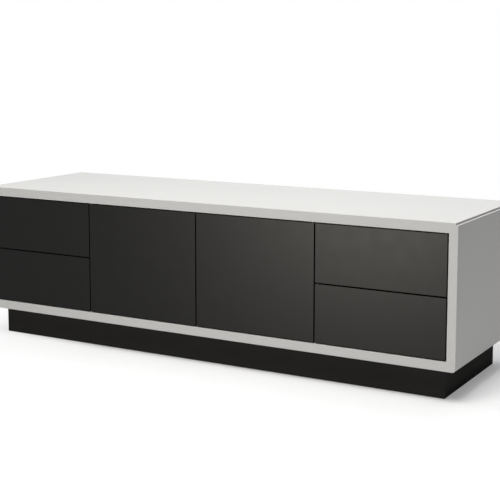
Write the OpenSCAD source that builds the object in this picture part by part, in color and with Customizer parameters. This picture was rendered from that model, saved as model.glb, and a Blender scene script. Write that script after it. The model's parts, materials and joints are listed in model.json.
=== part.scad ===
// Low credenza: a light frame on a dark recessed plinth, with four drawers and two doors set flush in it.
// Millimetres. The origin is on the floor, under the middle. X runs along the front, Y to the back, Z up.

/* [Body] */
// Overall width
body_w = 1600; // [1400:10:2000]
// Overall depth
body_d = 488; // [470:1:600]
// Overall height, from the floor to the top plate's upper face
body_h = 484; // [460:1:600]
// Thickness of the side panels
side_t = 25; // [19:0.5:35]
// Thickness of the top panel
top_t = 21.5; // [19:0.5:35]
// Thickness of the bottom panel
bottom_t = 27; // [22:0.5:35]
// Width of the 45 degree cut along the outer lower edges
edge_cut = 6; // [1:0.5:10]
// Thickness of the two partitions
partition_t = 18; // [16:0.5:22]

/* [Top plate] */
// Thickness of the top plate
plate_t = 6; // [3:0.5:10]
// How far the plate's ends are set in from the side panels
plate_inset = 6; // [1:0.5:15]

/* [Fronts] */
// Thickness of the drawer fronts and doors
front_t = 19; // [17:0.5:22]
// Seam between neighbouring fronts
seam = 3.5; // [3:0.1:5]
// Gap between the fronts and the frame
frame_gap = 3; // [2.5:0.1:5]
// Room behind the fronts, so that they can be pushed in
press_room = 3; // [2.5:0.1:6]

/* [Back] */
// Thickness of the back panels
back_t = 8; // [5:0.5:12]
// How far the back panels lie inside the rear edges
back_inset = 12; // [4:0.5:20]
// How far the back panels reach into the frame's rebate
rebate = 9; // [5:0.5:12]
// Play round the back panels
back_play = 0.3; // [0.1:0.1:0.8]

/* [Cable outlets] */
// Radius of the way through a grommet
outlet_r = 27; // [20:0.5:35]
// Wall of the grommet's sleeve
grommet_wall = 3; // [2:0.5:4]
// Thickness of the grommet's flange
grommet_flange_t = 2; // [1:0.5:4]
// How far the flange stands out round the sleeve
grommet_lip = 5; // [3:0.5:8]
// How far the sleeve reaches past the back panel's inner face
grommet_end = 2; // [0.5:0.5:5]
// Height of an outlet's centre above the bay's floor, and below its ceiling
outlet_up = 60; // [50:1:90]

/* [Shelf] */
// Thickness of the shelf
shelf_t = 19; // [16:0.5:25]
// How far the shelf stays behind the partitions' front edges
shelf_front = 20; // [5:1:60]
// Gap behind the shelf, for cables
shelf_back = 25; // [10:1:60]
// Play at each end of the shelf
shelf_play = 1; // [0.5:0.1:2]
// Radius of a shelf pin
shelf_pin_r = 2.5; // [2:0.1:3.5]
// How far a shelf pin's collar stands out round it
shelf_collar = 1.5; // [1:0.1:3]
// How deep a shelf pin sits in its hole
shelf_pin_in = 8; // [6:0.5:10]
// How far a shelf pin's rest reaches under the shelf
shelf_rest = 9; // [6:0.5:14]
// Distance between the holes in a row
pin_pitch = 32; // [25:1:40]
// Distance of the rows of holes from the shelf's front and rear edge
pin_row = 37; // [20:1:80]

/* [Plinth] */
// Height of the plinth with its glides, up to the bottom panel
plinth_h = 88; // [70:1:120]
// How far the plinth is set back from the front
plinth_front = 40; // [20:1:80]
// How far the plinth is set in from each end
plinth_side = 42; // [20:1:80]
// How far the plinth is set in from the back
plinth_back = 46; // [20:1:80]
// Thickness of the plinth boards
plinth_t = 19; // [16:0.5:25]
// How far the two braces stay above the plinth's lower edge
brace_up = 28; // [0:1:40]
// How far the glides hold the plinth off the floor
glide_out = 2; // [1:0.5:8]
// Radius of a glide's foot
glide_r = 14; // [10:0.5:20]
// Height of a glide's foot
glide_foot = 9; // [8.5:0.5:14]
// Radius of a glide's stem
glide_stem_r = 4; // [3:0.5:6]
// Length of a glide's stem in its block
glide_stem = 35; // [20:1:45]
// Width of a glide's block
block_w = 44; // [36:1:60]

/* [Drawers] */
// Thickness of a drawer's box sides, inner front and back
box_t = 12; // [10:0.5:16]
// Height of a drawer's box
box_h = 120; // [80:1:130]
// How far the box lies above its front's lower edge
box_up = 20; // [14:1:24]
// Thickness of the box's bottom
box_bottom_t = 6; // [4:0.5:8]
// Depth of the groove for the bottom
groove = 6; // [4:0.5:7]
// Height of the groove above the box's lower edge
groove_up = 10; // [8:0.5:14]
// Play of the bottom in its groove
groove_play = 0.3; // [0.1:0.1:1]

/* [Runners] */
// Length of a closed runner
runner_l = 400; // [300:50:400]
// Height of a runner
runner_h = 45; // [42:0.5:50]
// Width of a runner, from the cabinet's wall to the drawer's box
runner_w = 12.7; // [12.5:0.1:14]
// Thickness of the runner's steel
steel_t = 1.2; // [1:0.1:1.4]
// Radius of a bearing ball
ball_r = 2; // [1.8:0.1:2.1]
// Distance between the balls of a row
ball_pitch = 30; // [20:1:45]
// How much shorter a ball cage is than half the runner
cage_short = 20; // [10:1:60]
// Thickness of a ball cage
cage_t = 0.5; // [0.4:0.05:0.6]
// Space between neighbouring webs, which holds a cage
web_gap = 1.3; // [1.2:0.05:1.5]
// Gap between a member's lip and the next member
lip_gap = 0.4; // [0.3:0.05:0.6]
// Clearance of a ball on its track
ball_play = 0.05; // [0.02:0.01:0.1]
// Distance of the first screw hole from a runner's front end
hole_first = 35; // [20:1:60]
// Distance between the screw holes of a runner
hole_pitch = 96; // [64:32:96]
// Radius of a screw hole in the cabinet and drawer members
hole_r = 2.3; // [1.8:0.1:2.8]
// Length of the oblong holes, in which a runner can be set before it is fixed
slot_l = 14; // [8:1:24]
// Radius of the holes in the middle member, for a screwdriver
access_r = 5; // [4:0.5:7]

/* [Door pivots] */
// Distance of a pivot from the door's hinge edge
pivot_in = 7; // [6.5:0.1:8]
// Distance of a pivot behind the door's front face
pivot_back = 6; // [5.5:0.1:6.5]
// Radius of a pivot pin
pivot_r = 2.5; // [2:0.1:3]
// How deep a pivot pin reaches into its bush
pivot_reach = 8; // [5:0.5:9]
// Radius of a pivot plate's round ends
pivot_plate_r = 4; // [3.5:0.1:4.5]
// Length of a pivot plate
pivot_plate_l = 44; // [30:1:60]
// Thickness of a pivot plate
pivot_plate_t = 3; // [2:0.5:5]
// Radius of a bush
bush_r = 4; // [3.6:0.1:4.5]
// Length of a bush in the frame
bush_l = 10; // [10:0.5:14]
// Thickness of a bush's flange
bush_flange_t = 1.2; // [0.8:0.1:1.6]
// How far the flange stands out round the bush
bush_lip = 1.2; // [0.8:0.1:1.4]

/* [Push latches] */
// Distance of a latch from the middle
latch_x = 40; // [20:1:120]
// Width of a latch housing
latch_w = 18; // [14:0.5:24]
// Height of a latch housing
latch_h = 16; // [14:0.5:22]
// Length of a latch housing
latch_l = 70; // [62:1:90]
// Radius of a plunger
plunger_r = 3; // [2:0.1:4]
// Length of a plunger behind its head
plunger_l = 50; // [30:1:55]
// Radius of a plunger's head
plunger_head_r = 4.5; // [4.2:0.1:6]
// Thickness of a plunger's head
plunger_head_t = 2; // [1:0.5:3]
// How far a plunger can be pressed in
plunger_travel = 2.5; // [1:0.1:4]

/* [Dowels and fits] */
// Radius of a dowel
dowel_r = 4; // [3:0.5:5]
// Length of a dowel on each side of its joint
dowel_reach = 15; // [10:0.5:16]
// Distance of the outer dowels from a partition's edges
dowel_edge = 60; // [40:1:90]
// Radial clearance of a piece that sits fast in its hole
seat_play = 0.1; // [0.05:0.01:0.2]
// Radial clearance of a piece that turns or slides in its hole
run_play = 0.05; // [0.02:0.01:0.1]
// Gap between a moving piece and what it rests against
rest_gap = 0.3; // [0.2:0.05:0.5]

/* [Hidden] */
$fn = 32;
// How far a cut reaches past the face that it opens
over = 1;

// Finishes
frame_colour = [0.86, 0.86, 0.84];
front_colour = [0.20, 0.19, 0.19];
plinth_colour = [0.08, 0.08, 0.08];
inside_colour = [0.80, 0.80, 0.78];
box_colour = [0.72, 0.71, 0.69];
steel_colour = [0.70, 0.71, 0.73];
ball_colour = [0.85, 0.86, 0.88];
dark_steel_colour = [0.24, 0.24, 0.25];
black_plastic = [0.10, 0.10, 0.11];
grey_plastic = [0.55, 0.56, 0.57];
wood_colour = [0.78, 0.64, 0.45];

// Planes of the body
half_w = body_w / 2;
front_y = -body_d / 2;
rear_y = body_d / 2;
plate_z = body_h - plate_t;
ceiling_z = plate_z - top_t;
floor_z = plinth_h + bottom_t;
inner_x = half_w - side_t;
// Four equal columns: drawers, door, door, drawers
column_w = inner_x / 2;
front_back_y = front_y + front_t;
inside_y = front_back_y + press_room;
back_in_y = rear_y - back_inset - back_t;
back_out_y = rear_y - back_inset;
outlet_zs = [floor_z + outlet_up, ceiling_z - outlet_up];

// Fronts
front_low_z = floor_z + frame_gap;
front_high_z = ceiling_z - frame_gap;
drawer_front_h = (front_high_z - front_low_z - seam) / 2;
function drawer_z(level) = front_low_z + level * (drawer_front_h + seam);

// Doors: the middle bay lies between the partitions' inner faces
bay_x = column_w - partition_t / 2;
door_edge_x = column_w - seam / 2;
pivot_x = door_edge_x - pivot_in;
pivot_y = front_y + pivot_back;

// Drawer bay on the left, and the box in it
drawer_bay_outer_x = -inner_x;
drawer_bay_inner_x = -column_w - partition_t / 2;
box_x0 = drawer_bay_outer_x + runner_w;
box_x1 = drawer_bay_inner_x - runner_w;
box_y0 = front_back_y;
box_y1 = inside_y + runner_l;
function box_z(level) = drawer_z(level) + box_up;

// Runner section: X is the distance from the cabinet's wall, Y the height above the runner's middle
function runner_z(level) = box_z(level) + box_h / 2;
race = 2 * ball_r + 2 * ball_play;
cabinet_web_x = steel_t / 2;
middle_web_x = cabinet_web_x + steel_t + web_gap;
drawer_web_x = runner_w - steel_t / 2;
cabinet_flange = runner_h / 2 - steel_t / 2;
middle_flange = cabinet_flange - steel_t - race;
drawer_flange = middle_flange - steel_t - race;
// The middle member's lip stays clear of the drawer member's web
middle_lip_x = drawer_web_x - steel_t - 2 * lip_gap;
cabinet_lip_x = middle_lip_x - steel_t - lip_gap;
cabinet_lip_end = middle_flange + steel_t + lip_gap;
middle_lip_end = drawer_flange + steel_t + lip_gap;
drawer_flange_end = middle_web_x + steel_t + web_gap;
outer_cage_x = (cabinet_web_x + middle_web_x) / 2;
inner_cage_x = (middle_web_x + drawer_flange_end) / 2;
outer_cage_z = (cabinet_flange + middle_flange) / 2;
inner_cage_z = (middle_flange + drawer_flange) / 2;
outer_ball_x = cabinet_lip_x - steel_t / 2 - lip_gap - ball_r;
inner_ball_x = middle_lip_x - steel_t / 2 - lip_gap - ball_r;
cage_l = runner_l / 2 - cage_short;
ball_row_room = cage_l - 4 * ball_r;
balls = floor(ball_row_room / ball_pitch) + 1;
holes = floor((runner_l - 2 * hole_first) / hole_pitch) + 1;

// Shelf
shelf_z = (floor_z + ceiling_z - shelf_t) / 2;
shelf_y0 = inside_y + shelf_front;
shelf_y1 = back_in_y - shelf_back;
shelf_collar_r = shelf_pin_r + shelf_collar;
shelf_collar_t = shelf_play - rest_gap;
shelf_pin_z = shelf_z - shelf_collar_r;
pin_rows = [shelf_y0 + pin_row, shelf_y1 - pin_row];

// Plinth
plinth_x = half_w - plinth_side;
plinth_y0 = front_y + plinth_front;
plinth_y1 = rear_y - plinth_back;
glide_xs = [
    plinth_x - plinth_t - block_w / 2,
    column_w + plinth_t / 2 + block_w / 2,
];
glide_ys = [plinth_y0 + plinth_t + block_w / 2, plinth_y1 - plinth_t - block_w / 2];

// Dowels
dowel_ys = [inside_y + dowel_edge, (inside_y + back_in_y) / 2, back_in_y - dowel_edge];

// Push latches
plunger_y = front_back_y + rest_gap;
latch_y = plunger_y + plunger_head_t + plunger_travel + rest_gap;
latch_z = ceiling_z - latch_h / 2;

// A plain board between two corners
module board(low, high) {
    translate(low) cube(high - low);
}

// A section drawn in X and Z, carried along Y from one depth to another
module along_depth(y0, y1) {
    translate([0, y1, 0]) rotate([90, 0, 0]) linear_extrude(y1 - y0) children();
}

// A rod along Y
module depth_rod(y0, y1, r) {
    translate([0, y1, 0]) rotate([90, 0, 0]) cylinder(h = y1 - y0, r = r);
}

// A sheet of even thickness bent along a line, with round bends and edges
module bent_sheet(line, t) {
    for (i = [1 : len(line) - 1]) {
        run = line[i] - line[i - 1];
        translate(line[i - 1]) rotate(atan2(run.y, run.x)) translate([0, -t / 2]) square([norm(run), t]);
    }
    for (point = line) translate(point) circle(r = t / 2);
}

// A flat bar with round ends, along X from x0 to x1
module round_bar(x0, x1, r) {
    translate([x0 + r, -r]) square([x1 - x0 - 2 * r, 2 * r]);
    for (x = [x0 + r, x1 - r]) translate([x, 0]) circle(r = r);
}

// Copies on both sides of the middle
module both_sides() {
    children();
    mirror([1, 0, 0]) children();
}

// A piece of the left half, or its mirror image on the right
module on_side(right) {
    mirror([right ? 1 : 0, 0, 0]) children();
}

// The rebate that the back panels lie in
module back_rebate() {
    board([-inner_x - rebate, back_in_y, floor_z - rebate],
          [inner_x + rebate, rear_y + over, ceiling_z + rebate]);
}

// Holes for the dowels of both partitions, at one joint
module dowel_holes(z) {
    for (x = [-column_w, column_w], y = dowel_ys)
        translate([x, y, z - dowel_reach - seat_play])
            cylinder(h = 2 * (dowel_reach + seat_play), r = dowel_r + seat_play);
}

// Seats of the four door bushes
module bush_holes() {
    both_sides() {
        translate([pivot_x, pivot_y, ceiling_z]) cylinder(h = bush_l + seat_play, r = bush_r + seat_play);
        translate([pivot_x, pivot_y, floor_z - bush_l - seat_play])
            cylinder(h = bush_l + seat_play, r = bush_r + seat_play);
    }
}

module top_plate() {
    color(frame_colour)
        board([-half_w + plate_inset, front_y, plate_z], [half_w - plate_inset, rear_y, body_h]);
}

// The mitre runs from the frame's inner corner to its outer corner
module top_panel() {
    color(frame_colour) difference() {
        along_depth(front_y, rear_y)
            polygon([[-half_w, plate_z], [half_w, plate_z], [inner_x, ceiling_z], [-inner_x, ceiling_z]]);
        back_rebate();
        dowel_holes(ceiling_z);
        bush_holes();
    }
}

module bottom_panel() {
    mitre = [half_w - edge_cut / 2, plinth_h + edge_cut / 2];
    cut = [half_w - edge_cut, plinth_h];
    color(frame_colour) difference() {
        along_depth(front_y, rear_y)
            polygon([
                [inner_x, floor_z], mitre, cut,
                [-cut.x, cut.y], [-mitre.x, mitre.y], [-inner_x, floor_z]
            ]);
        back_rebate();
        dowel_holes(floor_z);
        bush_holes();
    }
}

module side_panel(right) {
    color(frame_colour) on_side(right) difference() {
        along_depth(front_y, rear_y)
            polygon([
                [-half_w, plate_z], [-inner_x, ceiling_z], [-inner_x, floor_z],
                [-half_w + edge_cut / 2, plinth_h + edge_cut / 2], [-half_w, plinth_h + edge_cut]
            ]);
        back_rebate();
    }
}

// The middle bay is on the partition's inner face, where the shelf pins go in
module partition(right) {
    color(inside_colour) on_side(right) difference() {
        board([drawer_bay_inner_x, inside_y, floor_z], [-bay_x, back_in_y, ceiling_z]);
        dowel_holes(floor_z);
        dowel_holes(ceiling_z);
        for (y = pin_rows, step = [-1 : 1])
            translate([-bay_x, y, shelf_pin_z + step * pin_pitch]) rotate([0, -90, 0])
                cylinder(h = shelf_pin_in + seat_play, r = shelf_pin_r + seat_play);
    }
}

module partition_dowels() {
    color(wood_colour) for (x = [-column_w, column_w], y = dowel_ys, z = [floor_z, ceiling_z])
        translate([x, y, z - dowel_reach]) cylinder(h = 2 * dowel_reach, r = dowel_r);
}

// A back panel, drawn between the middles of what it covers
module back_panel(x0, x1) {
    board([x0 + back_play, back_in_y, floor_z - rebate + back_play],
          [x1 - back_play, back_out_y, ceiling_z + rebate - back_play]);
}

module middle_back_panel() {
    color(inside_colour) difference() {
        back_panel(-column_w, column_w);
        for (z = outlet_zs) translate([0, 0, z])
            depth_rod(back_in_y - over, back_out_y + over, outlet_r + grommet_wall + seat_play);
    }
}

module outer_back_panels() {
    color(inside_colour) both_sides() back_panel(-inner_x - rebate, -column_w);
}

module cable_grommets() {
    sleeve_r = outlet_r + grommet_wall;
    color(black_plastic) for (z = outlet_zs) translate([0, 0, z]) difference() {
        union() {
            depth_rod(back_in_y - grommet_end, back_out_y + grommet_flange_t, sleeve_r);
            depth_rod(back_out_y, back_out_y + grommet_flange_t, sleeve_r + grommet_lip);
        }
        depth_rod(back_in_y - grommet_end - over, back_out_y + grommet_flange_t + over, outlet_r);
    }
}

module shelf() {
    color(inside_colour)
        board([-bay_x + shelf_play, shelf_y0, shelf_z], [bay_x - shelf_play, shelf_y1, shelf_z + shelf_t]);
}

// A pin in the partition with a collar and a flat rest, which the shelf lies on
module shelf_pins() {
    color(steel_colour) both_sides() for (y = pin_rows) translate([-bay_x, y, shelf_pin_z]) {
        rotate([0, 90, 0]) translate([0, 0, -shelf_pin_in])
            cylinder(h = shelf_pin_in + shelf_rest, r = shelf_pin_r);
        rotate([0, 90, 0]) cylinder(h = shelf_collar_t, r = shelf_collar_r);
        board([0, -shelf_pin_r, 0], [shelf_rest, shelf_pin_r, shelf_collar_r]);
    }
}

// A plinth board in plan, mitred at both ends, between two outer corners
module plinth_board(outline) {
    color(plinth_colour) translate([0, 0, glide_out]) linear_extrude(plinth_h - glide_out) polygon(outline);
}

module plinth_front_board() {
    plinth_board([
        [-plinth_x, plinth_y0], [plinth_x, plinth_y0],
        [plinth_x - plinth_t, plinth_y0 + plinth_t], [-plinth_x + plinth_t, plinth_y0 + plinth_t]
    ]);
}

module plinth_back_board() {
    plinth_board([
        [-plinth_x, plinth_y1], [plinth_x, plinth_y1],
        [plinth_x - plinth_t, plinth_y1 - plinth_t], [-plinth_x + plinth_t, plinth_y1 - plinth_t]
    ]);
}

module plinth_end_boards() {
    both_sides() plinth_board([
        [-plinth_x, plinth_y0], [-plinth_x + plinth_t, plinth_y0 + plinth_t],
        [-plinth_x + plinth_t, plinth_y1 - plinth_t], [-plinth_x, plinth_y1]
    ]);
}

// The braces stand under the partitions
module plinth_braces() {
    color(plinth_colour) both_sides()
        board([column_w - plinth_t / 2, plinth_y0 + plinth_t, glide_out + brace_up],
              [column_w + plinth_t / 2, plinth_y1 - plinth_t, plinth_h]);
}

module glide_blocks() {
    half = block_w / 2;
    color(wood_colour) both_sides() for (x = glide_xs, y = glide_ys) translate([x, y, 0]) difference() {
        board([-half, -half, glide_foot], [half, half, plinth_h]);
        translate([0, 0, glide_foot - over])
            cylinder(h = glide_stem + over + rest_gap, r = glide_stem_r + seat_play);
    }
}

module levelling_glides() {
    bevel = glide_out;
    color(black_plastic) both_sides() for (x = glide_xs, y = glide_ys) translate([x, y, 0]) {
        cylinder(h = bevel, r1 = glide_r - bevel, r2 = glide_r);
        translate([0, 0, bevel]) cylinder(h = glide_foot - bevel, r = glide_r);
        translate([0, 0, glide_foot]) cylinder(h = glide_stem, r = glide_stem_r);
    }
}

// Pocket or plate in the top or bottom edge of the left door; grow widens it
module pivot_plate_shape(grow) {
    translate([-door_edge_x, pivot_y])
        round_bar(pivot_in - pivot_plate_r - grow, pivot_in - pivot_plate_r + pivot_plate_l + grow,
                  pivot_plate_r + grow);
}

module door(right) {
    color(front_colour) on_side(right) difference() {
        board([-door_edge_x, front_y, front_low_z], [-seam / 2, front_back_y, front_high_z]);
        translate([0, 0, front_low_z - over]) linear_extrude(pivot_plate_t + over)
            pivot_plate_shape(seat_play);
        translate([0, 0, front_high_z - pivot_plate_t]) linear_extrude(pivot_plate_t + over)
            pivot_plate_shape(seat_play);
    }
}

// A pivot for the door's lower edge: the plate's lower face is at height 0 and the pin points down
module lower_pivot() {
    collar_h = frame_gap - bush_flange_t - rest_gap;
    linear_extrude(pivot_plate_t) pivot_plate_shape(0);
    translate([-pivot_x, pivot_y, -frame_gap - pivot_reach])
        cylinder(h = frame_gap + pivot_reach + pivot_plate_t / 2, r = pivot_r);
    translate([-pivot_x, pivot_y, -collar_h]) cylinder(h = collar_h + pivot_plate_t / 2, r = bush_r);
}

module door_pivots(right) {
    color(dark_steel_colour) on_side(right) {
        translate([0, 0, front_low_z]) lower_pivot();
        translate([0, 0, front_high_z]) mirror([0, 0, 1]) lower_pivot();
    }
}

// A bush for the lower end of a door: the frame's face is at height 0
module lower_bush() {
    difference() {
        union() {
            translate([0, 0, -bush_l]) cylinder(h = bush_l + bush_flange_t, r = bush_r);
            cylinder(h = bush_flange_t, r = bush_r + bush_lip);
        }
        translate([0, 0, -bush_l - over])
            cylinder(h = bush_l + bush_flange_t + 2 * over, r = pivot_r + run_play);
    }
}

module door_pivot_bushes() {
    color(black_plastic) both_sides() {
        translate([pivot_x, pivot_y, floor_z]) lower_bush();
        translate([pivot_x, pivot_y, ceiling_z]) mirror([0, 0, 1]) lower_bush();
    }
}

module latch_housings() {
    half = latch_w / 2;
    guide_end = plunger_y + plunger_head_t + plunger_l + plunger_travel + rest_gap;
    color(grey_plastic) both_sides() translate([latch_x, 0, latch_z]) difference() {
        along_depth(latch_y, latch_y + latch_l) {
            translate([-half, -latch_h / 2 + half / 2]) square([latch_w, latch_h - half / 2]);
            translate([-half / 2, -latch_h / 2]) square([half, half]);
            for (x = [-half / 2, half / 2]) translate([x, -latch_h / 2 + half / 2]) circle(r = half / 2);
        }
        depth_rod(latch_y - over, guide_end, plunger_r + run_play);
    }
}

module latch_plunger(right) {
    color(black_plastic) on_side(right) translate([-latch_x, 0, latch_z]) {
        depth_rod(plunger_y, plunger_y + plunger_head_t + plunger_l, plunger_r);
        depth_rod(plunger_y, plunger_y + plunger_head_t, plunger_head_r);
    }
}

// The two runners of a left drawer, each drawn from its wall towards the box
module at_runners(level) {
    translate([drawer_bay_outer_x, inside_y, runner_z(level)]) children();
    translate([drawer_bay_inner_x, inside_y, runner_z(level)]) mirror([1, 0, 0]) children();
}

// A channel section that is the same above and below its middle
module channel(upper_half, t) {
    lower_half = [for (i = [len(upper_half) - 1 : -1 : 0]) [upper_half[i].x, -upper_half[i].y]];
    bent_sheet(concat(upper_half, lower_half), t);
}

// Round holes in the web of a runner's member, whose middle is at web_x
module screw_holes(web_x, r) {
    depth = steel_t + 2 * over;
    for (i = [0 : holes - 1])
        translate([web_x - depth / 2, hole_first + i * hole_pitch, 0]) rotate([0, 90, 0])
            cylinder(h = depth, r = r);
}

// Oblong holes halfway between the screw holes
module oblong_holes(web_x) {
    depth = steel_t + 2 * over;
    for (i = [0 : holes - 2])
        translate([web_x - depth / 2, hole_first + (i + 0.5) * hole_pitch, 0]) rotate([0, 90, 0])
            linear_extrude(depth) rotate(90) round_bar(-slot_l / 2, slot_l / 2, hole_r);
}

// A channel cage with a row of balls above and a row below
module ball_cage(web_x, z, ball_x) {
    middle = runner_l / 2;
    row = (balls - 1) * ball_pitch;
    along_depth(middle - cage_l / 2, middle + cage_l / 2)
        channel([[ball_x + ball_r / 2, z], [web_x, z]], cage_t);
    for (i = [0 : balls - 1], side = [-1, 1])
        translate([ball_x, middle - row / 2 + i * ball_pitch, side * z]) sphere(r = ball_r);
}

module runner_cabinet_members() {
    color(steel_colour) both_sides() for (level = [0, 1]) at_runners(level) difference() {
        along_depth(0, runner_l)
            channel([
                [cabinet_lip_x, cabinet_lip_end], [cabinet_lip_x, cabinet_flange],
                [cabinet_web_x, cabinet_flange]
            ], steel_t);
        screw_holes(cabinet_web_x, hole_r);
        oblong_holes(cabinet_web_x);
    }
}

// The wide holes let a screwdriver through to the cabinet member's screws
module middle_members(right, level) {
    color(steel_colour) on_side(right) at_runners(level) difference() {
        along_depth(0, runner_l)
            channel([
                [middle_lip_x, middle_lip_end], [middle_lip_x, middle_flange], [middle_web_x, middle_flange]
            ], steel_t);
        screw_holes(middle_web_x, access_r);
    }
}

module drawer_members(right, level) {
    color(steel_colour) on_side(right) at_runners(level) difference() {
        along_depth(0, runner_l)
            channel([[drawer_flange_end, drawer_flange], [drawer_web_x, drawer_flange]], steel_t);
        screw_holes(drawer_web_x, hole_r);
        oblong_holes(drawer_web_x);
    }
}

module outer_cages(right, level) {
    color(ball_colour) on_side(right) at_runners(level) ball_cage(outer_cage_x, outer_cage_z, outer_ball_x);
}

module inner_cages(right, level) {
    color(ball_colour) on_side(right) at_runners(level) ball_cage(inner_cage_x, inner_cage_z, inner_ball_x);
}

module drawer_front(right, level) {
    z = drawer_z(level);
    color(front_colour) on_side(right)
        board([-inner_x + frame_gap, front_y, z], [-column_w - seam / 2, front_back_y, z + drawer_front_h]);
}

// The room that a box's bottom takes up; play makes the panel smaller than its groove
module bottom_room(level, play) {
    inset = box_t - groove + play;
    z = box_z(level) + groove_up;
    board([box_x0 + inset, box_y0 + inset, z], [box_x1 - inset, box_y1 - inset, z + box_bottom_t]);
}

module box_sides(right, level) {
    z = box_z(level);
    color(box_colour) on_side(right) difference() {
        union() {
            board([box_x0, box_y0, z], [box_x0 + box_t, box_y1, z + box_h]);
            board([box_x1 - box_t, box_y0, z], [box_x1, box_y1, z + box_h]);
        }
        bottom_room(level, 0);
    }
}

module box_ends(right, level) {
    z = box_z(level);
    color(box_colour) on_side(right) difference() {
        union() {
            board([box_x0 + box_t, box_y0, z], [box_x1 - box_t, box_y0 + box_t, z + box_h]);
            board([box_x0 + box_t, box_y1 - box_t, z], [box_x1 - box_t, box_y1, z + box_h]);
        }
        bottom_room(level, 0);
    }
}

module box_bottom(right, level) {
    color(box_colour) on_side(right) bottom_room(level, groove_play);
}

top_plate();
top_panel();
bottom_panel();
side_panel(false);  // left_side_panel
side_panel(true);  // right_side_panel
partition(false);  // left_partition
partition(true);  // right_partition
partition_dowels();
middle_back_panel();
outer_back_panels();
cable_grommets();
shelf();
shelf_pins();
plinth_front_board();
plinth_back_board();
plinth_end_boards();
plinth_braces();
glide_blocks();
levelling_glides();
door(false);  // left_door
door(true);  // right_door
door_pivots(false);  // left_door_pivots
door_pivots(true);  // right_door_pivots
door_pivot_bushes();
latch_housings();
latch_plunger(false);  // left_latch_plunger
latch_plunger(true);  // right_latch_plunger
runner_cabinet_members();
drawer_front(false, 1);  // upper_left_drawer_front
box_sides(false, 1);  // upper_left_box_sides
box_ends(false, 1);  // upper_left_box_ends
box_bottom(false, 1);  // upper_left_box_bottom
drawer_members(false, 1);  // upper_left_drawer_members
middle_members(false, 1);  // upper_left_middle_members
outer_cages(false, 1);  // upper_left_outer_cages
inner_cages(false, 1);  // upper_left_inner_cages
drawer_front(false, 0);  // lower_left_drawer_front
box_sides(false, 0);  // lower_left_box_sides
box_ends(false, 0);  // lower_left_box_ends
box_bottom(false, 0);  // lower_left_box_bottom
drawer_members(false, 0);  // lower_left_drawer_members
middle_members(false, 0);  // lower_left_middle_members
outer_cages(false, 0);  // lower_left_outer_cages
inner_cages(false, 0);  // lower_left_inner_cages
drawer_front(true, 1);  // upper_right_drawer_front
box_sides(true, 1);  // upper_right_box_sides
box_ends(true, 1);  // upper_right_box_ends
box_bottom(true, 1);  // upper_right_box_bottom
drawer_members(true, 1);  // upper_right_drawer_members
middle_members(true, 1);  // upper_right_middle_members
outer_cages(true, 1);  // upper_right_outer_cages
inner_cages(true, 1);  // upper_right_inner_cages
drawer_front(true, 0);  // lower_right_drawer_front
box_sides(true, 0);  // lower_right_box_sides
box_ends(true, 0);  // lower_right_box_ends
box_bottom(true, 0);  // lower_right_box_bottom
drawer_members(true, 0);  // lower_right_drawer_members
middle_members(true, 0);  // lower_right_middle_members
outer_cages(true, 0);  // lower_right_outer_cages
inner_cages(true, 0);  // lower_right_inner_cages
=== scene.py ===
# Low credenza: materials, edge rounding, screws, floor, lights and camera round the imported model.
# Metres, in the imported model's own frame: X along the front, Y to the back, Z up, the floor at Z = 0.
import json
import math

import bpy
from mathutils import Matrix, Vector


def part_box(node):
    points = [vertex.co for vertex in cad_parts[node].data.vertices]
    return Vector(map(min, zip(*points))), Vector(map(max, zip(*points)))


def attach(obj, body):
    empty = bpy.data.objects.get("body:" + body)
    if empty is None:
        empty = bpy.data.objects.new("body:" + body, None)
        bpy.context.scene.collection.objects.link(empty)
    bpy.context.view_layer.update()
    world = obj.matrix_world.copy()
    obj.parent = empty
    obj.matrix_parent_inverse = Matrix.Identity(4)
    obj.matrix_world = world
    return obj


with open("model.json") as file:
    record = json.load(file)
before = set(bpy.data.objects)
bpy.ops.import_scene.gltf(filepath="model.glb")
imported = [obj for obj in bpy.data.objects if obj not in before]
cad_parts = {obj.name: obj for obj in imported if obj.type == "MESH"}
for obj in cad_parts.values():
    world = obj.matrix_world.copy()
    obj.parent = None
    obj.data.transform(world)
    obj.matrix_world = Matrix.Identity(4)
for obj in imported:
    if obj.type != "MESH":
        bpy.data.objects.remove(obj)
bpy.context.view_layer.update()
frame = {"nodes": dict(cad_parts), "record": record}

MM = 0.001

# Camera, at the photograph's viewing angle
CAMERA_PLACE = (1.8195, -3.1024, 0.9419)
CAMERA_YAW_DEG = 29.791
CAMERA_TILT_DEG = 7.087
CAMERA_LENS = 84.675
CAMERA_SENSOR = 36.0
CAMERA_SHIFT_Y = -0.12

# Edge rounding
FRAME_ROUNDING = 0.8 * MM
BOARD_ROUNDING = 0.5 * MM
SMALL_ROUNDING = 0.25 * MM
ROUNDING_SEGMENTS = 2
SHARP_DEG = 30.0
FLAT_DEG = 0.1
HOLE_EDGE = 2 * MM
WELD_DISTANCE = 0.01 * MM

DRAWERS = ["upper_left", "lower_left", "upper_right", "lower_right"]

# Colours, as linear values
FRAME_COLOUR = (0.515, 0.511, 0.501)
INSIDE_COLOUR = (0.475, 0.475, 0.465)
FRONT_COLOUR = (0.0042, 0.0041, 0.0040)
PLINTH_COLOUR = (0.0260, 0.0252, 0.0245)
BOX_COLOUR = (0.50, 0.49, 0.46)
BEECH_LIGHT = (0.60, 0.41, 0.23)
BEECH_DARK = (0.45, 0.28, 0.14)
BLACK_PLASTIC_COLOUR = (0.014, 0.014, 0.015)
GREY_PLASTIC_COLOUR = (0.30, 0.31, 0.32)
STEEL_COLOUR = (0.62, 0.63, 0.65)
BEARING_COLOUR = (0.72, 0.73, 0.75)
DARK_STEEL_COLOUR = (0.045, 0.045, 0.048)
FLOOR_COLOUR = (0.94, 0.94, 0.94)
WHITE = (1.0, 1.0, 1.0)

# A texture's stretch along the three axes where it has no direction
EVEN = (1.0, 1.0, 1.0)

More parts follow.
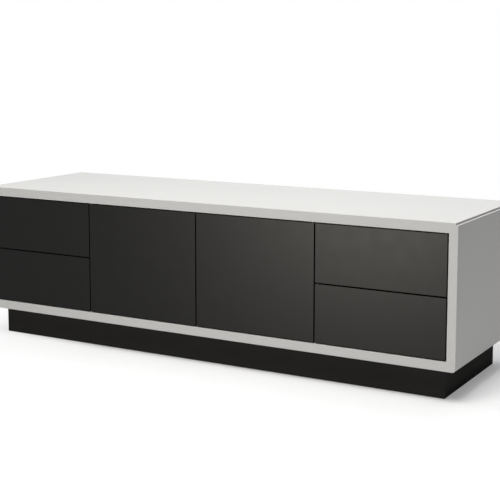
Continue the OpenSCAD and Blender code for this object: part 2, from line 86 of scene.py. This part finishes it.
# The range in which a noise texture mostly stays
NOISE_LOW = 0.25
NOISE_HIGH = 0.75

# Paler edges of the lacquer: their reach and share, and the dots of normals at an edge and on a flat
EDGE_REACH = 1.2 * MM
EDGE_SHARE = 0.35
EDGE_SAMPLES = 4
EDGE_DOT = 0.80
FLAT_DOT = 0.995


def shade(colour, factor):
    """A colour made lighter or darker."""
    return tuple(min(1.0, part * factor) for part in colour)


class Surface:
    """A Principled material and the nodes that feed it."""

    def __init__(self, name, roughness, metallic=0.0, specular=0.5):
        self.material = bpy.data.materials.new(name)
        self.material.use_nodes = True
        self.tree = self.material.node_tree
        self.shader = self.tree.nodes["Principled BSDF"]
        self.shader.inputs["Roughness"].default_value = roughness
        self.shader.inputs["Metallic"].default_value = metallic
        self.shader.inputs["Specular IOR Level"].default_value = specular
        self.height = None

    def add(self, kind, **settings):
        """A new node with some of its settings."""
        node = self.tree.nodes.new(kind)
        for key, value in settings.items():
            setattr(node, key, value)
        return node

    def link(self, source, target):
        self.tree.links.new(source, target)

    def place(self, stretch=EVEN):
        """The object's own coordinates in metres, scaled."""
        source = self.add("ShaderNodeTexCoord")
        mapping = self.add("ShaderNodeMapping")
        mapping.inputs["Scale"].default_value = stretch
        self.link(source.outputs["Object"], mapping.inputs["Vector"])
        return mapping.outputs["Vector"]

    def noise(self, scale, detail=3.0, roughness=0.55, stretch=EVEN):
        node = self.add("ShaderNodeTexNoise")
        node.inputs["Scale"].default_value = scale
        node.inputs["Detail"].default_value = detail
        node.inputs["Roughness"].default_value = roughness
        self.link(self.place(stretch), node.inputs["Vector"])
        return node.outputs["Fac"]

    def spread(self, value, low, high, from_low=NOISE_LOW, from_high=NOISE_HIGH):
        """Carries a value from one range to another."""
        node = self.add("ShaderNodeMapRange")
        node.inputs["From Min"].default_value = from_low
        node.inputs["From Max"].default_value = from_high
        node.inputs["To Min"].default_value = low
        node.inputs["To Max"].default_value = high
        self.link(value, node.inputs["Value"])
        return node.outputs["Result"]

    def blend(self, factor, first, second):
        """Mixes two colours, each a tuple or a socket."""
        node = self.add("ShaderNodeMix", data_type="RGBA")
        self.link(factor, node.inputs["Factor"])
        for key, colour in (("A", first), ("B", second)):
            socket = [s for s in node.inputs if s.name == key and s.type == "RGBA"][0]
            if isinstance(colour, tuple):
                socket.default_value = (*colour, 1.0)
            else:
                self.link(colour, socket)
        return [s for s in node.outputs if s.type == "RGBA"][0]

    def mottle(self, noise, colour, darkest, lightest):
        """A colour that noise makes darker and lighter."""
        return self.blend(self.spread(noise, 0.0, 1.0), shade(colour, darkest), shade(colour, lightest))

    def edges(self, radius):
        """1 along sharp edges and 0 away from them."""
        bevel = self.add("ShaderNodeBevel", samples=EDGE_SAMPLES)
        bevel.inputs["Radius"].default_value = radius
        geometry = self.add("ShaderNodeNewGeometry")
        dot = self.add("ShaderNodeVectorMath", operation="DOT_PRODUCT")
        self.link(bevel.outputs["Normal"], dot.inputs[0])
        self.link(geometry.outputs["Normal"], dot.inputs[1])
        return self.spread(dot.outputs["Value"], 1.0, 0.0, from_low=EDGE_DOT, from_high=FLAT_DOT)

    def colour(self, source):
        self.link(source, self.shader.inputs["Base Color"])

    def roughness(self, noise, middle, reach):
        """Roughness that noise carries up and down round a middle value."""
        self.link(self.spread(noise, middle - reach, middle + reach), self.shader.inputs["Roughness"])

    def relief(self, source, distance, strength=1.0):
        """Adds a bump on top of the ones before it."""
        node = self.add("ShaderNodeBump")
        node.inputs["Distance"].default_value = distance
        node.inputs["Strength"].default_value = strength
        self.link(source, node.inputs["Height"])
        if self.height is not None:
            self.link(self.height, node.inputs["Normal"])
        self.height = node.outputs["Normal"]
        self.link(self.height, self.shader.inputs["Normal"])


def lacquer(name, colour, roughness, specular, variation, wear):
    """Sprayed satin lacquer: faintly cloudy, with a fine orange peel and slightly paler edges."""
    surface = Surface(name, roughness, specular=specular)
    tone = surface.mottle(surface.noise(scale=4.0, detail=2.0), colour, 1 - variation, 1 + variation)
    edge = surface.spread(surface.edges(EDGE_REACH), 0.0, EDGE_SHARE, from_low=0.0, from_high=1.0)
    surface.colour(surface.blend(edge, tone, shade(colour, wear)))
    surface.roughness(surface.noise(scale=30.0, detail=4.0), roughness, reach=0.02)
    surface.relief(surface.noise(scale=700.0, detail=2.0), distance=0.010 * MM, strength=0.6)
    surface.relief(surface.noise(scale=9.0, detail=1.0), distance=0.02 * MM, strength=0.4)
    return surface.material


def melamine(name, colour, roughness, specular=0.4, grain=EVEN):
    """Matt melamine board with a pressed pore texture."""
    surface = Surface(name, roughness, specular=specular)
    fleck = surface.noise(scale=260.0, detail=4.0, roughness=0.7, stretch=grain)
    surface.colour(surface.mottle(fleck, colour, 0.965, 1.025))
    surface.roughness(surface.noise(scale=60.0, detail=3.0), roughness, reach=0.05)
    pores = surface.noise(scale=900.0, detail=3.0, roughness=0.6, stretch=grain)
    surface.relief(pores, distance=0.02 * MM, strength=0.8)
    return surface.material


def moulded(name, colour, roughness):
    """Moulded plastic with a fine spark-eroded grain."""
    surface = Surface(name, roughness, specular=0.45)
    surface.colour(surface.mottle(surface.noise(scale=40.0), colour, 0.88, 1.15))
    surface.roughness(surface.noise(scale=300.0, detail=3.0), roughness, reach=0.06)
    surface.relief(surface.noise(scale=2600.0, detail=2.0), distance=0.015 * MM, strength=0.8)
    return surface.material


def metal(name, colour, roughness, streaks, stretch, patches=0.06):
    """Metal with fine streaks from rolling, drawing or turning, and faint patches of tone."""
    surface = Surface(name, roughness, metallic=1.0)
    patch = surface.noise(scale=35.0, detail=3.0)
    surface.colour(surface.mottle(patch, colour, 1 - patches, 1 + patches))
    streak = surface.noise(scale=streaks, detail=4.0, roughness=0.6, stretch=stretch)
    surface.roughness(streak, roughness, reach=0.07)
    surface.relief(streak, distance=0.004 * MM, strength=0.7)
    return surface.material


def beech_wood():
    """Planed beech: growth lines along Z with short dark flecks."""
    surface = Surface("beech", 0.5, specular=0.35)
    lines = surface.noise(scale=9.0, detail=4.0, roughness=0.6, stretch=(22.0, 22.0, 1.0))
    flecks = surface.noise(scale=60.0, detail=2.0, roughness=0.5, stretch=(10.0, 10.0, 1.0))
    base = surface.blend(surface.spread(lines, 0.0, 1.0), BEECH_LIGHT, BEECH_DARK)
    dark = surface.spread(flecks, 0.0, 0.8, from_low=0.62, from_high=0.72)
    surface.colour(surface.blend(dark, base, shade(BEECH_DARK, 0.6)))
    surface.roughness(lines, 0.525, reach=0.075)
    surface.relief(flecks, distance=0.03 * MM, strength=0.7)
    return surface.material


# Materials, under the record's slots
MATERIALS = {
    "frame": lacquer(
        "frame_lacquer", FRAME_COLOUR, roughness=0.65, specular=0.3, variation=0.012, wear=1.05,
    ),
    "inside": melamine("inside_melamine", INSIDE_COLOUR, roughness=0.55),
    "fronts": lacquer(
        "front_lacquer", FRONT_COLOUR, roughness=0.39, specular=0.115, variation=0.03, wear=1.6,
    ),
    "plinth": melamine("plinth_foil", PLINTH_COLOUR, roughness=0.75, specular=0.01),
    "beech": beech_wood(),
    "black_plastic": moulded("black_plastic", BLACK_PLASTIC_COLOUR, roughness=0.48),
    "grey_plastic": moulded("grey_plastic", GREY_PLASTIC_COLOUR, roughness=0.45),
    "steel": metal("zinc_steel", STEEL_COLOUR, roughness=0.30, streaks=900.0, stretch=(1.0, 0.02, 1.0)),
    "dark_steel": metal(
        "black_oxide_steel", DARK_STEEL_COLOUR, roughness=0.45, streaks=700.0, stretch=(1.0, 1.0, 0.1),
    ),
    "drawer_box": melamine("drawer_melamine", BOX_COLOUR, roughness=0.5, grain=(1.0, 0.08, 0.6)),
    "bearing_steel": metal(
        "bearing_steel", BEARING_COLOUR, roughness=0.16, streaks=500.0,
        stretch=(1.0, 0.1, 1.0), patches=0.03,
    ),
}


def smooth(mesh):
    """Smooth shading, broken at sharp edges."""
    mesh.polygons.foreach_set("use_smooth", [True] * len(mesh.polygons))
    mesh.set_sharp_from_angle(angle=math.radians(SHARP_DEG))


def edge_key(first, second):
    """A key that edges at the same place share, whichever way round they run."""
    return frozenset(tuple(round(part / WELD_DISTANCE) for part in point) for point in (first, second))


def mark_edges(mesh, leave_out):
    """Gives each sharp edge a bevel weight, or a sharp mark where it is left out.
    Faces of the imported mesh don't share vertices, so edges are matched by place."""
    facing = {}
    for face in mesh.polygons:
        corners = [mesh.vertices[index].co for index in face.vertices]
        for first, second in zip(corners, corners[1:] + corners[:1]):
            facing.setdefault(edge_key(first, second), []).append(face.normal.copy())
    limit = math.cos(math.radians(SHARP_DEG))
    weights = []
    marks = []
    for edge in mesh.edges:
        first, second = (mesh.vertices[index].co for index in edge.vertices)
        normals = facing.get(edge_key(first, second), [])
        sharp = len(normals) == 2 and normals[0].dot(normals[1]) < limit
        kept = sharp and leave_out(first, second)
        weights.append(1.0 if sharp and not kept else 0.0)
        marks.append(kept)
    for name in ("custom_normal", "sharp_edge"):
        found = mesh.attributes.get(name)
        if found is not None:
            mesh.attributes.remove(found)
    mesh.attributes.new("sharp_edge", "BOOLEAN", "EDGE").data.foreach_set("value", marks)
    mesh.attributes.new("bevel_weight_edge", "FLOAT", "EDGE").data.foreach_set("value", weights)
    mesh.polygons.foreach_set("use_smooth", [True] * len(mesh.polygons))


def no_edge(first, second):
    """A test that leaves no edge out of the rounding."""
    return False


def hole_rim(first, second):
    """True for the short edges round a hole in a board."""
    return (first - second).length < HOLE_EDGE


def inside_outline(node):
    """A test for the edges of a board that aren't on the outline of its box."""
    low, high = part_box(node)

    def leave_out(first, second):
        planes = 0
        for axis in range(3):
            for level in (low[axis], high[axis]):
                if max(abs(first[axis] - level), abs(second[axis] - level)) < WELD_DISTANCE:
                    planes += 1
        return planes < 2

    return leave_out


def flush_joints():
    """A test for edges that keep their corner: in the mitres, under the top plate and round holes."""
    top_low, top_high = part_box("top_panel")
    bottom_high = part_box("bottom_panel")[1]
    side_low, side_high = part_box("left_side_panel")
    plate_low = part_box("top_plate")[0]
    inner = -side_high.x
    mitres = [
        (Vector((top_high.x, top_high.z)), Vector((inner, top_low.z))),
        (Vector((bottom_high.x, side_low.z)), Vector((inner, bottom_high.z))),
    ]

    def leave_out(first, second):
        for start, end in mitres:
            run = (end - start).normalized()
            off = [(abs(p.x) - start.x) * run.y - (p.z - start.y) * run.x for p in (first, second)]
            if max(abs(value) for value in off) < 2 * WELD_DISTANCE:
                return True
        under_plate = max(abs(first.z - plate_low.z), abs(second.z - plate_low.z)) < WELD_DISTANCE
        return under_plate or hole_rim(first, second)

    return leave_out


def round_edges(node, width, leave_out):
    """Rounds a CAD node's sharp edges with modifiers only."""
    obj = frame["nodes"][node]
    mark_edges(obj.data, leave_out)
    weld = obj.modifiers.new("Weld", "WELD")
    weld.merge_threshold = WELD_DISTANCE
    join = obj.modifiers.new("Flat faces", "DECIMATE")
    join.decimate_type = "DISSOLVE"
    join.angle_limit = math.radians(FLAT_DEG)
    bevel = obj.modifiers.new("Rounding", "BEVEL")
    bevel.limit_method = "WEIGHT"
    bevel.width = width
    bevel.segments = ROUNDING_SEGMENTS
    bevel.use_clamp_overlap = True
    bevel.harden_normals = True


def dress_nodes():
    """Gives the CAD nodes their slots' materials, and rounds the edges of those that show them."""
    slots = {entry["node"]: entry["material_slot"] for entry in frame["record"]["subparts"]}
    for name, obj in frame["nodes"].items():
        obj.data.materials.clear()
        obj.data.materials.append(MATERIALS[slots[name]])
    flush = flush_joints()
    for name in ("top_plate", "top_panel", "bottom_panel", "left_side_panel", "right_side_panel"):
        round_edges(name, FRAME_ROUNDING, flush)
    for name in ("left_door", "right_door"):
        round_edges(name, FRAME_ROUNDING, inside_outline(name))
    for drawer in DRAWERS:
        round_edges(drawer + "_drawer_front", FRAME_ROUNDING, hole_rim)
        for part in ("_box_sides", "_box_ends", "_box_bottom"):
            round_edges(drawer + part, BOARD_ROUNDING, hole_rim)
    for name in ("left_partition", "right_partition", "middle_back_panel", "shelf"):
        round_edges(name, BOARD_ROUNDING, inside_outline(name))
    for name in (
        "outer_back_panels", "plinth_front_board", "plinth_back_board", "plinth_end_boards",
        "plinth_braces", "glide_blocks",
    ):
        round_edges(name, BOARD_ROUNDING, hole_rim)
    for name in ("cable_grommets", "levelling_glides", "latch_housings", "shelf_pins"):
        round_edges(name, SMALL_ROUNDING, no_edge)


# Steel sheet and width of the runners, their front screw hole and the pitch of the holes
RUNNER_STEEL = 1.2 * MM
RUNNER_WIDTH = 12.7 * MM
RUNNER_HOLE_FIRST = 35 * MM
RUNNER_HOLE_PITCH = 96 * MM
RUNNER_SCREWS = [RUNNER_HOLE_FIRST + hole * RUNNER_HOLE_PITCH for hole in (0, 1, 3)]

# Screws in the drawer boxes: in from the sides' edges, and in from the box's outline in its front
SIDE_SCREW_INSET = 18 * MM
FRONT_SCREW_INSET = 40 * MM
FRONT_SCREW_UP = 34 * MM
FRONT_SCREW_DOWN = 26 * MM

# Screws along a pivot plate, in from a latch housing's ends, and in from a back panel's edges
PIVOT_SCREWS = (19 * MM, 35 * MM)
LATCH_SCREW_FRONT = 12 * MM
LATCH_SCREW_BACK = 8 * MM
BACK_SCREW_INSET = 5 * MM
BACK_SCREW_SPACING = 150 * MM


class Head:
    """A screw head's radius and height, and the depth of its cross recess."""

    def __init__(self, radius, height, recess):
        self.radius = radius
        self.height = height
        self.recess = recess


RUNNER_HEAD = Head(3.4 * MM, 1.6 * MM, 1.2 * MM)
CABINET_HEAD = Head(3.4 * MM, 0.3 * MM, 0.25 * MM)
BOX_HEAD = Head(3.6 * MM, 0.5 * MM, 0.45 * MM)
PIVOT_HEAD = Head(2.7 * MM, 0.4 * MM, 0.35 * MM)
LATCH_HEAD = Head(2.8 * MM, 0.4 * MM, 0.35 * MM)
BACK_HEAD = Head(3.4 * MM, 1.8 * MM, 1.3 * MM)

# A head's rings as shares of its radius and height, and its cross as shares of its radius
HEAD_RINGS = [(1.0, 0.0), (1.0, 0.35), (0.93, 0.72), (0.80, 1.0)]
RING_POINTS = 24
CROSS_REACH = 0.58
CROSS_WIDTH = 0.13
CROSS_TAPER = 0.6
CROSS_ARMS = 4
ARM_POINTS = 3
CROSS_POINTS = CROSS_ARMS * ARM_POINTS

# How far each head of a set is turned on from the one before
HEAD_TURN_DEG = 37.0


def ring_point(ring, step):
    """Number of a point on one of a head's rings."""
    return ring * RING_POINTS + step % RING_POINTS


def screw_head(head):
    """Points and faces of a round head along +Z, underside at 0, with a domed rim and a cross recess."""
    points = []
    faces = []
    for share, level in HEAD_RINGS:
        reach = head.radius * share
        for step in range(RING_POINTS):
            turn = 2 * math.pi * step / RING_POINTS
            points.append((reach * math.cos(turn), reach * math.sin(turn), head.height * level))
    top = len(HEAD_RINGS) - 1
    for ring in range(top):
        for step in range(RING_POINTS):
            lower_edge = (ring_point(ring, step), ring_point(ring, step + 1))
            upper_edge = (ring_point(ring + 1, step + 1), ring_point(ring + 1, step))
            faces.append(lower_edge + upper_edge)
    faces.append(tuple(reversed(range(RING_POINTS))))
    for level, taper in ((head.height, 1.0), (head.height - head.recess, CROSS_TAPER)):
        for arm in range(CROSS_ARMS):
            turn = 2 * math.pi / CROSS_ARMS * arm
            along = Vector((math.cos(turn), math.sin(turn)))
            across = Vector((-along.y, along.x))
            width = head.radius * CROSS_WIDTH * taper
            tip = along * (head.radius * CROSS_REACH * taper)
            for spot in (tip - across * width, tip + across * width, (along + across) * width):
                points.append((spot.x, spot.y, level))
    upper = len(HEAD_RINGS) * RING_POINTS
    lower = upper + CROSS_POINTS
    # The top, in pieces between the cross and the upper ring
    for arm in range(CROSS_ARMS):
        start = ARM_POINTS * arm
        middle = RING_POINTS // CROSS_ARMS * arm
        for side in range(ARM_POINTS):
            corner = upper + start + side
            after = upper + (start + side + 1) % CROSS_POINTS
            span = [ring_point(top, middle + 2 * side + step) for step in (-1, 0, 1)]
            faces.append((corner, *span, after))
    # The walls and the bottom of the recess
    for step in range(CROSS_POINTS):
        beside = (step + 1) % CROSS_POINTS
        faces.append((upper + step, upper + beside, lower + beside, lower + step))
    faces.append(tuple(range(lower, lower + CROSS_POINTS)))
    return points, faces


def add_screws(name, body, slot, places, head):
    """One mesh of screw heads. A place is a point on a face and the direction that the head looks in."""
    head_points, head_faces = screw_head(head)
    points = []
    faces = []
    for count, (spot, direction) in enumerate(places):
        turn = Vector((0.0, 0.0, 1.0)).rotation_difference(Vector(direction))
        twist = Matrix.Rotation(math.radians(HEAD_TURN_DEG * count), 3, "Z")
        start = len(points)
        for point in head_points:
            points.append(Vector(spot) + turn @ (twist @ Vector(point)))
        for face in head_faces:
            faces.append([start + index for index in face])
    mesh = bpy.data.meshes.new(name)
    mesh.from_pydata(points, [], faces)
    mesh.validate()
    mesh.materials.append(MATERIALS[slot])
    smooth(mesh)
    obj = bpy.data.objects.new(name, mesh)
    bpy.context.scene.collection.objects.link(obj)
    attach(obj, body)


def runner_screws(drawer):
    """Screws that hold the runners' drawer members to the box, seen inside the open channels."""
    low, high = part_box(drawer + "_drawer_members")
    side_low, side_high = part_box(drawer + "_box_sides")
    level = (low.z + high.z) / 2
    places = []
    for along in RUNNER_SCREWS:
        places.append(((side_low.x - RUNNER_STEEL, low.y + along, level), (-1, 0, 0)))
        places.append(((side_high.x + RUNNER_STEEL, low.y + along, level), (1, 0, 0)))
    add_screws(drawer + "_runner_screws", drawer + "_drawer", "steel", places, RUNNER_HEAD)


def cabinet_screws():
    """Flat screws in the cabinet members, which show at the back of an open drawer's bay."""
    places = []
    for drawer in DRAWERS:
        low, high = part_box(drawer + "_drawer_members")
        side_low, side_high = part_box(drawer + "_box_sides")
        level = (low.z + high.z) / 2
        for along in RUNNER_SCREWS:
            for wall, inwards in ((side_low.x - RUNNER_WIDTH, 1), (side_high.x + RUNNER_WIDTH, -1)):
                places.append(((wall + inwards * RUNNER_STEEL, low.y + along, level), (inwards, 0, 0)))
    add_screws("cabinet_runner_screws", "root", "steel", places, CABINET_HEAD)


def box_screws(drawer):
    """Screws through the box sides into its ends, and through the inner front into the drawer front."""
    side_low, side_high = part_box(drawer + "_box_sides")
    end_low, end_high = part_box(drawer + "_box_ends")
    board = end_low.x - side_low.x
    places = []
    for along in (side_low.y + board / 2, side_high.y - board / 2):
        for level in (side_low.z + SIDE_SCREW_INSET, side_high.z - SIDE_SCREW_INSET):
            places.append(((side_low.x, along, level), (-1, 0, 0)))
            places.append(((side_high.x, along, level), (1, 0, 0)))
    for across in (end_low.x + FRONT_SCREW_INSET, end_high.x - FRONT_SCREW_INSET):
        for level in (end_low.z + FRONT_SCREW_UP, end_high.z - FRONT_SCREW_DOWN):
            places.append(((across, end_low.y + board, level), (0, 1, 0)))
    add_screws(drawer + "_box_screws", drawer + "_drawer", "steel", places, BOX_HEAD)


def pivot_screws(side):
    """Two screws in each pivot plate of a door."""
    low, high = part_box(side + "_door_pivots")
    door_low, door_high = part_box(side + "_door")
    inwards = 1 if side == "left" else -1
    edge = low.x if side == "left" else high.x
    depth = (low.y + high.y) / 2
    places = []
    for along in PIVOT_SCREWS:
        across = edge + inwards * along
        places.append(((across, depth, door_low.z), (0, 0, -1)))
        places.append(((across, depth, door_high.z), (0, 0, 1)))
    add_screws(side + "_pivot_screws", side + "_door", "dark_steel", places, PIVOT_HEAD)


def latch_screws():
    """Two screws under each latch housing."""
    low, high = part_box("latch_housings")
    press_low, press_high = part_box("left_latch_plunger")
    middle = (press_low.x + press_high.x) / 2
    places = []
    for across in (middle, -middle):
        for along in (low.y + LATCH_SCREW_FRONT, high.y - LATCH_SCREW_BACK):
            places.append(((across, along, low.z), (0, 0, -1)))
    add_screws("latch_screws", "root", "steel", places, LATCH_HEAD)


def back_screws():
    """Screws round the back panels, in the part that lies in the rebate."""
    middle_low, middle_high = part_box("middle_back_panel")
    outer_low, outer_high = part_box("outer_back_panels")
    face = middle_high.y
    low = middle_low.z + BACK_SCREW_INSET
    high = middle_high.z - BACK_SCREW_INSET
    edges = [
        (outer_low.x + BACK_SCREW_INSET, middle_low.x - BACK_SCREW_INSET),
        (middle_low.x + BACK_SCREW_INSET, middle_high.x - BACK_SCREW_INSET),
        (middle_high.x + BACK_SCREW_INSET, outer_high.x - BACK_SCREW_INSET),
    ]
    places = []
    for start, end in edges:
        count = max(2, round((end - start) / BACK_SCREW_SPACING))
        for step in range(count + 1):
            across = start + (end - start) * step / count
            places.append(((across, face, low), (0, 1, 0)))
            places.append(((across, face, high), (0, 1, 0)))
        for across in (start, end):
            places.append(((across, face, low + (high - low) / 3), (0, 1, 0)))
            places.append(((across, face, high - (high - low) / 3), (0, 1, 0)))
    add_screws("back_panel_screws", "root", "steel", places, BACK_HEAD)


def add_screw_sets():
    for drawer in DRAWERS:
        runner_screws(drawer)
        box_screws(drawer)
    cabinet_screws()
    for side in ("left", "right"):
        pivot_screws(side)
    latch_screws()
    back_screws()


# Floor, which goes over to white between two distances from a place near the object's right end. Near
# the object a quarter of painted white light lightens its shadow, and more so at the left end, which
# lies further from that place
FLOOR_HALF = 30.0
FLOOR_VARIATION = 0.002
SHADOW_PLACE = (0.75, 0.1, 0.0)
LIT_RADIUS = 1.15
WHITE_RADIUS = 1.8
NEAR_PAINTED_WHITE = 0.25


def seen_rays(tree):
    """1 for rays from the camera, from reflections and through clear pieces, and 0 for the rest."""
    rays = tree.nodes.new("ShaderNodeLightPath")
    total = rays.outputs["Is Camera Ray"]
    for kind in ("Is Glossy Ray", "Is Transmission Ray"):
        step = tree.nodes.new("ShaderNodeMath")
        step.operation = "ADD"
        step.use_clamp = True
        tree.links.new(total, step.inputs[0])
        tree.links.new(rays.outputs[kind], step.inputs[1])
        total = step.outputs["Value"]
    return total


def add_floor():
    """A pale floor that shows the object's shadow, lightened near the object by a quarter of painted
    white light, and runs out to the white background.
    """
    surface = Surface("floor", 0.9, specular=0.0)
    cloud = surface.noise(scale=3.0, detail=2.0)
    darkest = shade(FLOOR_COLOUR, 1 - FLOOR_VARIATION)
    lightest = shade(FLOOR_COLOUR, 1 + FLOOR_VARIATION)
    surface.colour(surface.blend(cloud, darkest, lightest))
    distance = surface.add("ShaderNodeVectorMath", operation="DISTANCE")
    distance.inputs[1].default_value = SHADOW_PLACE
    surface.link(surface.place(), distance.inputs[0])
    # Painted light: a quarter of glowing white near the object, which lightens its shadow, rising to all
    # white beyond WHITE_RADIUS
    painted_white = surface.spread(distance.outputs["Value"], NEAR_PAINTED_WHITE, 1.0, LIT_RADIUS, WHITE_RADIUS)
    share = surface.add("ShaderNodeMath", operation="MULTIPLY")
    surface.link(painted_white, share.inputs[0])
    surface.link(seen_rays(surface.tree), share.inputs[1])
    white = surface.add("ShaderNodeEmission")
    white.inputs["Color"].default_value = (*WHITE, 1.0)
    white.inputs["Strength"].default_value = 1.0
    mix = surface.add("ShaderNodeMixShader")
    surface.link(share.outputs["Value"], mix.inputs["Fac"])
    surface.link(surface.shader.outputs["BSDF"], mix.inputs[1])
    surface.link(white.outputs["Emission"], mix.inputs[2])
    surface.link(mix.outputs["Shader"], surface.tree.nodes["Material Output"].inputs["Surface"])
    mesh = bpy.data.meshes.new("floor")
    half = FLOOR_HALF
    corners = [(-half, -half, 0), (half, -half, 0), (half, half, 0), (-half, half, 0)]
    mesh.from_pydata(corners, [], [(0, 1, 2, 3)])
    mesh.materials.append(surface.material)
    floor = bpy.data.objects.new("floor", mesh)
    bpy.context.scene.collection.objects.link(floor)


# World
WORLD_LIGHT = 0.02


def add_world():
    """White where the camera and reflections see it, and a soft even light for the rest."""
    world = bpy.data.worlds.new("studio")
    bpy.context.scene.world = world
    world.use_nodes = True
    nodes = world.node_tree.nodes
    links = world.node_tree.links
    even = nodes["Background"]
    even.inputs["Color"].default_value = (*WHITE, 1.0)
    even.inputs["Strength"].default_value = WORLD_LIGHT
    white = nodes.new("ShaderNodeBackground")
    white.inputs["Color"].default_value = (*WHITE, 1.0)
    white.inputs["Strength"].default_value = 1.0
    mix = nodes.new("ShaderNodeMixShader")
    links.new(seen_rays(world.node_tree), mix.inputs["Fac"])
    links.new(even.outputs["Background"], mix.inputs[1])
    links.new(white.outputs["Background"], mix.inputs[2])
    links.new(mix.outputs["Shader"], nodes["World Output"].inputs["Surface"])


class Softbox:
    """An area lamp that looks at a point. With lights_matt off, only reflections see it."""

    def __init__(self, place, aim, width, height, watts, colour, lights_matt=True):
        self.place = Vector(place)
        self.aim = Vector(aim)
        self.width = width
        self.height = height
        self.watts = watts
        self.colour = colour
        self.lights_matt = lights_matt


COOL = (0.975, 0.99, 1.0)
HALF_WARM = (1.0, 0.988, 0.97)
WARM = (1.0, 0.958, 0.87)

# What the lamps look at, and where the two low ones stand: before the object, left of the camera
FLOOR_MIDDLE = (0.0, 0.0, 0.0)
BODY_MIDDLE = (0.0, 0.0, 0.25)
RIGHT_FRONTS = (0.6, -0.244, 0.35)
LOW_PLACE = (-0.52, -3.03, 0.3)

SOFTBOXES = {
    "roof": Softbox((0.0, 0.0, 3.6), FLOOR_MIDDLE, width=4.0, height=3.0, watts=88.0, colour=COOL),
    "front": Softbox(
        (0.35, -1.97, 3.71), BODY_MIDDLE, width=1.8, height=1.8, watts=117.0, colour=HALF_WARM,
    ),
    "back": Softbox((0.0, 2.29, 3.53), BODY_MIDDLE, width=1.8, height=1.8, watts=32.0, colour=COOL),
    "low_front": Softbox(LOW_PLACE, RIGHT_FRONTS, width=0.9, height=0.5, watts=3.5, colour=WARM),
    "sheen": Softbox(
        LOW_PLACE, RIGHT_FRONTS, width=0.9, height=0.5, watts=89.0, colour=WARM, lights_matt=False,
    ),
}


def add_softboxes():
    for name, box in SOFTBOXES.items():
        lamp = bpy.data.lights.new(name, "AREA")
        lamp.shape = "RECTANGLE"
        lamp.size = box.width
        lamp.size_y = box.height
        lamp.energy = box.watts
        lamp.color = box.colour
        obj = bpy.data.objects.new(name, lamp)
        obj.location = box.place
        obj.rotation_euler = (box.aim - box.place).to_track_quat("-Z", "Y").to_euler()
        obj.visible_camera = False
        obj.visible_diffuse = box.lights_matt
        bpy.context.scene.collection.objects.link(obj)


def add_camera():
    data = bpy.data.cameras.new("camera")
    data.sensor_width = CAMERA_SENSOR
    data.lens = CAMERA_LENS
    data.shift_y = CAMERA_SHIFT_Y
    camera = bpy.data.objects.new("camera", data)
    camera.location = CAMERA_PLACE
    camera.rotation_euler = (math.radians(90.0 - CAMERA_TILT_DEG), 0.0, math.radians(CAMERA_YAW_DEG))
    bpy.context.scene.collection.objects.link(camera)
    bpy.context.scene.camera = camera


add_camera()
dress_nodes()
add_screw_sets()
add_floor()
add_world()
add_softboxes()
bpy.context.scene.view_settings.view_transform = "Standard"
